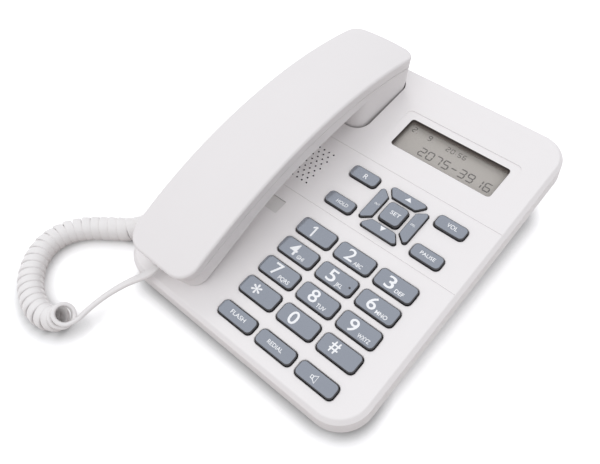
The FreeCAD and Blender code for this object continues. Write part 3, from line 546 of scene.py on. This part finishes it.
WORDS = [                     # key, text, height, width and place
    ("key_flash", "FLASH", 2.2, 9.2, (0.3, 0.3)), ("key_redial", "REDIAL", 2.1, 9.0, (-0.3, 0.0)),
    ("key_recall", "R", 3.1, 2.5, (0.8, -0.2)), ("key_hold", "HOLD", 2.1, 7.3, (1.5, -0.3)),
    ("key_volume", "VOL", 2.5, 6.0, (0.6, 0.2)), ("key_pause", "PAUSE", 2.1, 8.6, (0.5, 0.1)),
    ("key_set", "SET", 2.3, 5.9, (0.9, 0.3)), ("key_out", "OUT", 1.2, 3.0, (0.9, 0.2)),
    ("key_delete", "DEL", 1.2, 2.7, (-0.1, 0.6)), ("key_star", "*", 8.4, 5.4, (-2.6, -1.6))]
ARROWS = [                    # key, degrees that it is turned by, size and place
    ("key_up", 0, (3.9, 2.5), (0.9, 0.6)), ("key_down", 180, (3.3, 2.8), (0.5, 1.0))]
BAR_POINT = 0.45              # a bar's ends are pointed by this share of its thickness
ONE_BARS = [                  # length, thickness, place and turn of the bars that draw a sign
    (6.9, 1.0, (0.4, 0.0), 90), (2.5, 0.9, (-0.55, 2.45), 40)]
HASH_BARS = [
    (5.1, 0.8, (0.0, -1.1), 0), (5.1, 0.8, (0.0, 1.1), 0), (6.4, 0.8, (-1.1, 0.0), 82),
    (6.4, 0.8, (1.1, 0.0), 82)]
HASH_PLACE = (-3.1, 0.5)
HORN_OUTLINES = [             # height on the left and on the right, length, line and middle
    (1.8, 1.8, 1.5, 0.5, -1.2), (1.8, 4.4, 2.2, 0.5, 0.3)]
HORN_PLACE = (-1.2, -0.3)
NIB_RADIUS = 0.55 * MM        # the raised dot on the 5
NIB_FLATNESS = 0.6
NIB_PLACE = Vector((8.3, -0.3, 0)) * MM


def key_top(name):
    """The middle of a key's top face, in the deck frame."""
    low, high = extent([p for p in deck_points(name) if p.z > 0])
    return Vector(((low.x + high.x) / 2, (low.y + high.y) / 2, high.z - KEY_SUNK))


def lettering(text, weight):
    """Flat letters of size one, as bold as this weight, and the corners of the box round them."""
    curve = bpy.data.curves.new("lettering", "FONT")
    curve.body = text
    curve.offset = weight
    curve.resolution_u = 4
    mesh = curve_mesh(curve)
    letters = bmesh.new()
    letters.from_mesh(mesh)
    bpy.data.meshes.remove(mesh)
    return letters, *extent([v.co for v in letters.verts])


def text_mesh(text, height, weight, width):
    """Flat lettering this wide, whose capitals are this high, centred on its width and on their height."""
    capital, low, high = lettering("H", weight)
    capital.free()
    foot, rise = low.y, high.y - low.y
    letters, low, high = lettering(text, weight)
    bmesh.ops.translate(letters, vec=(-(low.x + high.x) / 2, -foot - rise / 2, 0), verts=letters.verts)
    spread = (width * MM / (high.x - low.x), height * MM / rise, 1)
    bmesh.ops.scale(letters, vec=spread, verts=letters.verts)
    return letters


def put_legend(name, key, letters, shift, materials):
    """Lay a flat mesh in the making on a key's hollowed top, as a piece of its own."""
    spot = key_top(key) + Vector((shift[0] * MM, shift[1] * MM, LEGEND_LIFT))
    for vertex in letters.verts:
        vertex.co.z -= hollowed(key, vertex.co.x + shift[0] * MM)
    bmesh.ops.transform(letters, matrix=DECK @ Matrix.Translation(spot), verts=letters.verts)
    legend = piece_from(name, letters, [materials["legend white"]], key, smooth=False)


def bar(length, thickness, place, turn):
    """A flat bar with pointed ends, turned by this many degrees about its middle."""
    made = bmesh.new()
    bmesh.ops.create_grid(made, x_segments=1, y_segments=1, size=0.5)
    bmesh.ops.scale(made, vec=(length * MM, thickness * MM, 1), verts=made.verts)
    bmesh.ops.bevel(made, geom=list(made.verts), offset=thickness * BAR_POINT * MM, segments=1, profile=0.5,
                    affect="VERTICES")
    turned_flat(made, turn)
    bmesh.ops.translate(made, vec=(place[0] * MM, place[1] * MM, 0), verts=made.verts)
    return made


def outline_shape(left_height, right_height, length, line, middle):
    """The outline of a trapezium with upright sides of these heights, all in mm."""
    made = bmesh.new()
    bmesh.ops.create_grid(made, x_segments=1, y_segments=1, size=0.5)
    for vertex in made.verts:
        height = left_height if vertex.co.x < 0 else right_height
        vertex.co = ((vertex.co.x * length + middle) * MM, vertex.co.y * height * MM, 0)
    face = made.faces[:][0]
    bmesh.ops.inset_individual(made, faces=[face], thickness=line * MM)
    bmesh.ops.delete(made, geom=[face], context="FACES")
    return made


def make_legends(materials):
    """The digits, letters, words and signs on the keys, and the raised dot on the 5."""
    for digit, shift in DIGITS.items():
        if digit == "1":
            shape = gathered([bar(*row) for row in ONE_BARS])
        else:
            shape = text_mesh(digit, DIGIT_SIZE[0], DIGIT_WEIGHT, DIGIT_SIZE[1])
        put_legend("digit_" + digit, "key_" + digit, shape, shift, materials)
    for digit, (letters, width, start) in LETTERS.items():
        shape = text_mesh(letters, LETTER_HEIGHT, LETTER_WEIGHT, width)
        put_legend("letters_" + digit, "key_" + digit, shape, (start + width / 2, LETTER_DROP), materials)
    for key, text, height, width, shift in WORDS:
        put_legend(key + "_word", key, text_mesh(text, height, WORD_WEIGHT, width), shift, materials)
    for key, turn, size, shift in ARROWS:
        arrow = bmesh.new()
        bmesh.ops.create_circle(arrow, cap_ends=True, radius=1 * MM, segments=3)
        low, high = extent([v.co for v in arrow.verts])
        bmesh.ops.translate(arrow, vec=-(low + high) / 2, verts=arrow.verts)
        spread = (size[0] * MM / (high.x - low.x), size[1] * MM / (high.y - low.y), 1)
        bmesh.ops.scale(arrow, vec=spread, verts=arrow.verts)
        turned_flat(arrow, turn)
        put_legend(key + "_arrow", key, arrow, shift, materials)
    put_legend("key_hash_word", "key_hash", gathered([bar(*row) for row in HASH_BARS]), HASH_PLACE, materials)
    horn = gathered([outline_shape(*row) for row in HORN_OUTLINES])
    put_legend("key_speaker_icon", "key_speaker", horn, HORN_PLACE, materials)
    nib = bmesh.new()
    bmesh.ops.create_uvsphere(nib, u_segments=16, v_segments=8, radius=NIB_RADIUS)
    bmesh.ops.scale(nib, vec=(1, 1, NIB_FLATNESS), verts=nib.verts)
    place = DECK @ Matrix.Translation(key_top("key_5") + NIB_PLACE)
    bmesh.ops.transform(nib, matrix=place, verts=nib.verts)
    touch = piece_from("key_5_nib", nib, [materials["key side"]], "key_5")


# ------------------------------------------------------------------------------ display and grille
# Lengths not times MM are in mm of the deck frame.
DISPLAY_CENTRE = (25.3, 56.6)
DISPLAY_SIZE = (63.3, 22.4)
PANEL_TOP = -4.48
DISPLAY_LINES = [             # text, left edge, foot, height and width of a character, pitch, line
    ("2075-3916", 8.0, 50.5, 6.3, 4.2, 5.2, 0.75), ("20:56", 19.4, 62.0, 3.4, 2.3, 3.0, 0.5),
    ("2.", -4.0, 62.9, 4.0, 2.3, 3.3, 0.5), ("9.", 6.8, 62.5, 3.9, 2.3, 3.3, 0.5)]
DOT_RISES = {":": (0.3, 0.7), ".": (0.08,)}     # as shares of a character's height
DOT_BACK = 0.25               # a dot stands this share of the pitch before the next place
DOT_ROOM = 0.5                # and takes up this share of it
# Size of the sheet of painted shade that covers the walls of the display's recess.
LINING_TOP, LINING_FOOT = -0.06, -3.38
LINING_CORNER = 1.9
LINING_SPREAD, LINING_INSET = 0.02, 0.42        # out at its top and in at its foot
SEGMENTS = {
    "0": "abcdef", "1": "bc", "2": "abged", "3": "abgcd", "4": "fgbc", "5": "afgcd", "6": "afgcde",
    "7": "abc", "8": "abcdefg", "9": "abcdfg", "-": "g"}
SEGMENT_PLACES = {            # right in half widths, back in quarter heights, and turn in degrees
    "a": (0, 2, 0), "b": (1, 1, 90), "c": (1, -1, 90), "d": (0, -2, 0), "e": (-1, -1, 90), "f": (-1, 1, 90),
    "g": (0, 0, 0)}


def segment_line(text, left, base, height, width, pitch, line):
    """Seven-segment characters in a row, in mm of the deck frame."""
    bars = []
    centre = left + width / 2
    for character in text:
        if character in DOT_RISES:
            for rise in DOT_RISES[character]:
                bars.append(bar(line, line, (centre - pitch * DOT_BACK, base + height * rise), 0))
            centre += pitch * DOT_ROOM
            continue
        for segment in SEGMENTS[character]:
            x, y, turn = SEGMENT_PLACES[segment]
            reach = (width if turn == 0 else height / 2) - line
            spot = (centre + x * (width - line) / 2, base + height / 2 + y * (height - line) / 4)
            bars.append(bar(reach, line, spot, turn))
        centre += pitch
    return bars


def make_display(materials):
    """The display's characters, and a sheet of painted shade on the walls between its window and its panel,
    darkest at the top.
    """
    digits = gathered([made for row in DISPLAY_LINES for made in segment_line(*row)])
    bmesh.ops.transform(digits, matrix=DECK @ Matrix.Translation((0, 0, PANEL_TOP * MM)), verts=digits.verts)
    piece_from("display_digits", digits, [materials["display digit"]], BASE, smooth=False)
    # A sheet of painted shade over the recess walls, dark under the window's edge and lighter towards the
    # panel.
    lining = bmesh.new()
    bmesh.ops.create_cube(lining, size=1.0)
    size = Vector((*DISPLAY_SIZE, LINING_TOP - LINING_FOOT)) * MM
    bmesh.ops.scale(lining, vec=size, verts=lining.verts)
    bmesh.ops.bevel(lining, geom=upright_edges(lining), offset=LINING_CORNER * MM, segments=6, profile=0.5,
                    affect="EDGES", material=-1)
    flat = [face for face in lining.faces if abs(face.normal.z) > 0.9]
    bmesh.ops.delete(lining, geom=flat, context="FACES")
    for vertex in lining.verts:
        inset = -LINING_SPREAD if vertex.co.z > 0 else LINING_INSET
        vertex.co.x -= math.copysign(inset * MM, vertex.co.x)
        vertex.co.y -= math.copysign(inset * MM, vertex.co.y)
    bmesh.ops.reverse_faces(lining, faces=lining.faces)
    middle = Vector((*DISPLAY_CENTRE, (LINING_TOP + LINING_FOOT) / 2)) * MM
    bmesh.ops.transform(lining, matrix=DECK @ Matrix.Translation(middle), verts=lining.verts)
    piece_from("display_painted_shade", lining, [materials["display painted shade"]], BASE)


GRILLE_CENTRE = (-45.0, 7.7)
GRILLE_PITCH = (3.39, 2.98)
GRILLE_ROWS, GRILLE_COLUMNS = 9, 12             # every second row has one hole less
# Dark tubes in the grille's holes, painted shade on the hole walls:
SHADE_TUBE_RADIUS = 0.5 * MM
SHADE_TUBE_DEPTH = 2.1 * MM
SHADE_TUBE_MIDDLE = -1.1


def make_grille_shade_tubes(materials):
    """Dark tubes in the loudspeaker's holes: painted shade on the hole walls."""
    shade_tubes = []
    for row in range(GRILLE_ROWS):
        count = GRILLE_COLUMNS - row % 2
        for i in range(count):
            shade_tube = bmesh.new()
            bmesh.ops.create_cone(shade_tube, cap_ends=False, segments=12, radius1=SHADE_TUBE_RADIUS,
                                  radius2=SHADE_TUBE_RADIUS, depth=SHADE_TUBE_DEPTH)
            across = GRILLE_CENTRE[0] + (i - (count - 1) / 2) * GRILLE_PITCH[0]
            back = GRILLE_CENTRE[1] + (row - (GRILLE_ROWS - 1) / 2) * GRILLE_PITCH[1]
            spot = Vector((across, back, SHADE_TUBE_MIDDLE)) * MM
            bmesh.ops.translate(shade_tube, vec=spot, verts=shade_tube.verts)
            shade_tubes.append(shade_tube)
    # The tubes are painted shade: they darken the walls of the holes.
    whole = gathered(shade_tubes)
    bmesh.ops.transform(whole, matrix=DECK, verts=whole.verts)
    piece_from("grille_shade_tubes", whole, [materials["dark moulding"]], BASE)


CONTACT_COUNT = 4
CONTACT_PITCH = 1.02 * MM
CONTACT_RADIUS = 0.22 * MM
CONTACT_TOP = Vector((0, -2.0, 3.3)) * MM       # from the middle of the socket's mouth
CONTACT_TIP = Vector((0, -10.5, -0.6)) * MM


def make_line_contacts(materials):
    """Four sprung wires that slant down inside the line socket."""
    low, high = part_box("line_jack")
    mouth = Vector(((low.x + high.x) / 2, high.y, (low.z + high.z) / 2))
    slant = CONTACT_TIP - CONTACT_TOP
    turned = slant.to_track_quat("Z", "Y").to_matrix().to_4x4()
    wires = []
    for i in range(CONTACT_COUNT):
        across = Vector(((i - (CONTACT_COUNT - 1) / 2) * CONTACT_PITCH, 0, 0))
        wire = bmesh.new()
        bmesh.ops.create_cone(wire, cap_ends=True, segments=10, radius1=CONTACT_RADIUS,
                              radius2=CONTACT_RADIUS, depth=slant.length)
        middle = Matrix.Translation(mouth + across + (CONTACT_TOP + CONTACT_TIP) / 2)
        bmesh.ops.transform(wire, matrix=middle @ turned, verts=wire.verts)
        wires.append(wire)
    contacts = piece_from("line_contacts", gathered(wires), [materials["gold contact"]], BASE)


# ------------------------------------------------------------------------------ cord
# The route in mm from the handset's plug to the coil, round through the coil, and on into the base.
LEAD_ROUTE = [
    (-48.5, -93.03, 25.68), (-48.5, -97.5, 24.9), (-49.6, -100.6, 23.6), (-52.2, -103.2, 21.2),
    (-57.3, -107.9, 17.3), (-61.5, -113.7, 13.6), (-64.6, -120.1, 10.6), (-65.8, -127.6, 9.1),
    (-65.4, -132.5, 9.1), (-64.5, -136.7, 9.7)]
COIL_ROUTE = [
    (-69.3, -139.9, 13.0), (-71.6, -142.2, 9.2), (-77.0, -146.2, 6.9), (-85.8, -147.4, 6.7),
    (-95.6, -144.6, 6.7), (-105.8, -138.8, 6.7), (-114.2, -129.9, 6.7), (-119.4, -118.8, 6.7),
    (-118.0, -106.6, 6.7), (-110.9, -96.4, 6.7), (-100.6, -88.4, 6.7), (-90.6, -80.8, 6.7),
    (-85.8, -70.0, 6.7), (-85.4, -47.0, 6.7), (-85.4, -19.7, 6.7)]
BASE_LEAD_ROUTE = [
    (-85.4, -19.7, 8.9), (-85.4, -11.8, 8.9), (-84.8, -3.9, 9.1), (-82.2, 2.5, 9.4),
    (-76.6, 6.7, 9.6), (-70.5, 6.7, 9.6)]
ROUTE_STEPS = 30              # points between two of a route's own
COIL_ROUTE_STEPS = 40
LEAD_STEP = 0.8 * MM          # spacing of points along both leads
BRIDGE_STEP = 0.5 * MM        # and along the bends between them and the coil
BRIDGE_REACH = 4 * MM
STRAND_WIDTHS = [             # share of the cord's points from the handset to the base, and width in mm
    (0.0, 4.5), (0.5, 4.6), (0.58, 5.2), (0.63, 5.9), (0.67, 5.9), (0.72, 5.1), (0.776, 5.3), (0.85, 5.0),
    (0.95, 4.6), (1.0, 4.5)]
STRAND_THICKNESS = 2.2 * MM
STRAND_LEAN = 0.12            # how far each turn tips over the one before it
SECTION_POINTS = 20
SECTION_POWER = 0.5           # 1 would make the strand's section an ellipse, 0 a rectangle
TURN_RADIUS = 5.5 * MM        # middle of the strand to the coil's axis
TURN_STEP = 0.17 * MM         # spacing of points along the coil's axis
TURN_PITCHES = [              # share of the coil's length, and spacing of its turns in mm
    (0.0, 4.6), (0.45, 4.7), (0.62, 5.2), (0.68, 4.9), (0.8, 5.4), (0.88, 5.1), (1.0, 4.7)]
RING_FACING = Vector((-0.586, 0.134, -0.799))   # the axis of the first turn, which lies over
RING_START = Vector((0.51, -0.59, -0.63))       # from the axis to the strand where it begins
LEAD_FACING = Vector((-0.28, -0.14, 0.95))      # the flat side of the strand where it enters the handset
RING_REACH = 12.0 * MM        # the turns stand square to the route from here on


def spline_points(route, steps):
    """Points along the smooth curve that a route's points steer."""
    curve = bpy.data.curves.new("route", "CURVE")
    curve.dimensions = "3D"
    curve.resolution_u = steps
    spline = curve.splines.new("NURBS")
    spline.points.add(len(route) - 1)
    for point, place in zip(spline.points, route):
        point.co = (*(c * MM for c in place), 1)
    spline.order_u = 3
    spline.use_endpoint_u = True
    mesh = curve_mesh(curve)
    points = [vertex.co.copy() for vertex in mesh.vertices]
    bpy.data.meshes.remove(mesh)
    return points


def even_points(points, step):
    """The same line again with points a step apart."""
    lengths = [0.0]
    for a, b in zip(points, points[1:]):
        lengths.append(lengths[-1] + (b - a).length)
    count = max(2, round(lengths[-1] / step))
    result = []
    k = 0
    for i in range(count + 1):
        want = lengths[-1] * i / count
        while k < len(points) - 2 and lengths[k + 1] < want:
            k += 1
        part = (want - lengths[k]) / max(lengths[k + 1] - lengths[k], 1e-12)
        result.append(points[k].lerp(points[k + 1], min(max(part, 0.0), 1.0)))
    return result


def directions(points):
    """The direction of a line at each of its points."""
    ends = [points[0]] + points + [points[-1]]
    return [(after - before).normalized() for before, after in zip(ends, ends[2:])]


def carried_normals(tangents, first):
    """A direction square to the tangents of a line, carried along it without twisting."""
    normals = []
    normal = first
    for tangent in tangents:
        normal = (normal - tangent * normal.dot(tangent)).normalized()
        normals.append(normal)
    return normals


def between(table, share):
    """The value that a table of (share, value) rows gives by straight lines between them."""
    for (a, low), (b, high) in zip(table, table[1:]):
        if share <= b:
            return low + (high - low) * (share - a) / (b - a)
    return table[-1][1]


def coil_turns():
    """Strand points and outward directions of the helix wound round the coil's route."""
    centres = even_points(spline_points(COIL_ROUTE, COIL_ROUTE_STEPS), TURN_STEP)
    axes = []
    for i, tangent in enumerate(directions(centres)):
        lying = max(0.0, 1 - i * TURN_STEP / RING_REACH)
        axes.append(tangent.lerp(RING_FACING, lying * lying * (3 - 2 * lying)).normalized())
    normals = carried_normals(axes, RING_START)
    strand, outward = [], []
    angle = 0.0
    for i, (centre, axis, normal) in enumerate(zip(centres, axes, normals)):
        out = Matrix.Rotation(angle, 3, axis) @ normal
        strand.append(centre + out * TURN_RADIUS)
        outward.append((out + axis * STRAND_LEAN).normalized())
        angle += 2 * math.pi * TURN_STEP / (between(TURN_PITCHES, i / len(centres)) * MM)
    return strand, outward


def bridge_between(first, second):
    """Points of a smooth bend from the end of one line to the start of another."""
    start, end = first[-1], second[0]
    leave = (first[-1] - first[-2]).normalized() * BRIDGE_REACH
    arrive = (second[1] - second[0]).normalized() * BRIDGE_REACH
    bridge = []
    count = max(3, round((end - start).length / BRIDGE_STEP))
    for i in range(1, count):
        t = i / count
        a = (2 * t ** 3 - 3 * t ** 2 + 1) * start + (t ** 3 - 2 * t ** 2 + t) * leave
        b = (3 * t ** 2 - 2 * t ** 3) * end + (t ** 3 - t ** 2) * arrive
        bridge.append(a + b)
    return bridge


def twisted_between(points, first, last):
    """Normals carried along a line from one direction, turned evenly to end at another or its opposite."""
    tangents = directions(points)
    normals = carried_normals(tangents, first)
    end = (last - tangents[-1] * last.dot(tangents[-1])).normalized()
    angle = normals[-1].angle(end)
    if normals[-1].cross(end).dot(tangents[-1]) < 0:
        angle = -angle
    if abs(angle) > math.pi / 2:
        angle -= math.copysign(math.pi, angle)
    turned = []
    for i, (normal, tangent) in enumerate(zip(normals, tangents)):
        share = angle * i / (len(points) - 1)
        turned.append(Matrix.Rotation(share, 3, tangent) @ normal)
    return turned


def oval_tube(points, normals, widths, thickness):
    """A tube with a rounded flat section: thickness along the normals, width square to them."""
    sheet = bmesh.new()
    bmesh.ops.create_grid(sheet, x_segments=SECTION_POINTS, y_segments=len(points) - 1, size=0.5)
    tangents = directions(points)
    for vertex in sheet.verts:
        row = round((vertex.co.y + 0.5) * (len(points) - 1))
        turn = 2 * math.pi * (vertex.co.x + 0.5)
        width = between(widths, row / len(points)) * MM
        across = math.copysign(abs(math.cos(turn)) ** SECTION_POWER, math.cos(turn)) * width / 2
        out = math.copysign(abs(math.sin(turn)) ** SECTION_POWER, math.sin(turn)) * thickness / 2
        side = tangents[row].cross(normals[row])
        vertex.co = points[row] + side * across + normals[row] * out
    bmesh.ops.remove_doubles(sheet, verts=sheet.verts, dist=1e-7)
    rims = [edge for edge in sheet.edges if edge.is_boundary]
    bmesh.ops.holes_fill(sheet, edges=rims, sides=SECTION_POINTS + 2)
    bmesh.ops.recalc_face_normals(sheet, faces=sheet.faces)
    return sheet


def make_cord(materials):
    """The whole cord from the handset to the base, both leads and all its turns in one piece."""
    lead, back = [even_points(spline_points(route, ROUTE_STEPS), LEAD_STEP)
                  for route in (LEAD_ROUTE, BASE_LEAD_ROUTE)]
    strand, outward = coil_turns()
    lead_in = bridge_between(lead, strand)
    lead_out = bridge_between(strand, back)
    first = lead + lead_in
    last = lead_out + back
    first_normals = twisted_between(first[::-1], outward[0], LEAD_FACING)[::-1]
    last_normals = twisted_between(last, outward[-1], Vector((0, 0, 1)))
    points = first + strand + last
    normals = first_normals + outward + last_normals
    tube = oval_tube(points, normals, STRAND_WIDTHS, STRAND_THICKNESS)
    cord = piece_from("cord", tube, [materials["cord vinyl"]], None)
    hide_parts("handset_lead", "curly_cord", "base_lead")
    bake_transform(cord)


# ------------------------------------------------------------------------------ floor and light
FLOOR_REACH = 4.0                        # from the floor's middle to its sides
FLOOR_BOUNCE = (0.40, 0.345, 0.33, 1)    # the floor's colour for the light that it throws back on the object
SHADOW_REACH = 10.5 * MM                 # how far out the contact shadow is deepened
FLOOR_LIFT = 0.3                         # keeps the open floor white
LOOP_MIDDLE = (-0.095, -0.112, 0)        # the patch of floor inside the coil's bend, which is shadowed less
LOOP_EDGE = (24 * MM, 34 * MM)           # it ends between these distances from its middle
LOOP_DEPTH, FLOOR_DEPTH = 0.3, 1.1       # how deep the contact shadow is there, and elsewhere
RIGHT_EDGE = (66 * MM, 80 * MM)          # the shadow deepens between these places on the right
RIGHT_DEPTH = 0.9                        # by this much
SKY_COLOUR = (0.985, 0.995, 1.03, 1)
SKY_HEIGHTS = (-0.1, 1.0)                # the sky grows brighter between these heights of a direction
SKY_STRENGTHS = (0.55, 0.95)
LAMP_TARGET = Vector((0, 0, 0.02))
LAMPS = [                                # name, place, size and power
    ("soft key", (-0.6, 0.7, 1.2), 0.5, 3.0), ("soft fill", (0.05, -0.8, 1.0), 1.0, 3.6)]


def background_share(tree):
    """1 on the rays that show the white background: the camera's, and those mirrored or let through."""
    paths = tree.nodes.new("ShaderNodeLightPath")
    seen = math_node(tree, "MAXIMUM", paths.outputs["Is Camera Ray"], paths.outputs["Is Glossy Ray"])
    return math_node(tree, "MAXIMUM", seen, paths.outputs["Is Transmission Ray"])


def make_stage():
    """The white floor, with a contact shadow that is deeper than the light alone would make it."""
    sheet = bmesh.new()
    bmesh.ops.create_grid(sheet, x_segments=1, y_segments=1, size=FLOOR_REACH)
    material = bpy.data.materials.new("pale floor")
    material.use_nodes = True
    tree = material.node_tree
    shader = tree.nodes["Principled BSDF"]
    shader.inputs["Roughness"].default_value = 0.9
    shader.inputs["Specular IOR Level"].default_value = 0.0
    seen = background_share(tree)
    nearness = tree.nodes.new("ShaderNodeAmbientOcclusion")
    nearness.samples = 16
    nearness.inputs["Distance"].default_value = SHADOW_REACH
    place = tree.nodes.new("ShaderNodeTexCoord")
    away = tree.nodes.new("ShaderNodeVectorMath")
    away.operation = "DISTANCE"
    away.inputs[1].default_value = LOOP_MIDDLE
    tree.links.new(place.outputs["Object"], away.inputs[0])
    depth = map_range(tree, away.outputs["Value"], LOOP_EDGE, (LOOP_DEPTH, FLOOR_DEPTH))
    parts = tree.nodes.new("ShaderNodeSeparateXYZ")
    tree.links.new(place.outputs["Object"], parts.inputs[0])
    right = map_range(tree, parts.outputs["X"], RIGHT_EDGE, (0.0, RIGHT_DEPTH))
    power = math_node(tree, "ADD", depth, right)
    open_share = math_node(tree, "POWER", nearness.outputs["AO"], power)
    colour = tree.nodes.new("ShaderNodeMix")
    colour.data_type = "RGBA"
    colour.inputs["A"].default_value = FLOOR_BOUNCE
    tree.links.new(open_share, colour.inputs["B"])
    tree.links.new(seen, colour.inputs["Factor"])
    tree.links.new(colour.outputs["Result"], shader.inputs["Base Color"])
    tree.links.new(math_node(tree, "MULTIPLY", open_share, seen), shader.inputs["Emission Color"])
    shader.inputs["Emission Strength"].default_value = FLOOR_LIFT
    floor = piece_from("floor", sheet, [material], None, smooth=False)


def area_light(name, place, size, power):
    """A square lamp that no shiny surface mirrors."""
    data = bpy.data.lights.new(name, "AREA")
    data.shape = "SQUARE"
    data.size = size
    data.energy = power
    lamp = linked(name, data)
    lamp.visible_glossy = False
    aim(lamp, place, LAMP_TARGET - Vector(place))


def make_light():
    """Light from all round, stronger from above, and two soft lamps."""
    world = bpy.data.worlds.new("studio")
    world.use_nodes = True
    tree = world.node_tree
    sky = tree.nodes["Background"]
    sky.inputs["Color"].default_value = SKY_COLOUR
    place = tree.nodes.new("ShaderNodeTexCoord")
    parts = tree.nodes.new("ShaderNodeSeparateXYZ")
    tree.links.new(place.outputs["Generated"], parts.inputs[0])
    rise = map_range(tree, parts.outputs["Z"], SKY_HEIGHTS, SKY_STRENGTHS)
    strength = math_node(tree, "MAXIMUM", rise, background_share(tree))
    tree.links.new(strength, sky.inputs["Strength"])
    bpy.context.scene.world = world
    for row in LAMPS:
        area_light(*row)
    bpy.context.scene.view_settings.view_transform = "Standard"


# ------------------------------------------------------------------------------ making it all
make_camera()
materials = make_materials()
finish_nodes(materials)
make_cord(materials)
make_key_caps(materials)
make_hole_corners(materials)
make_legends(materials)
make_display(materials)
make_grille_shade_tubes(materials)
make_line_contacts(materials)
make_stage()
make_light()
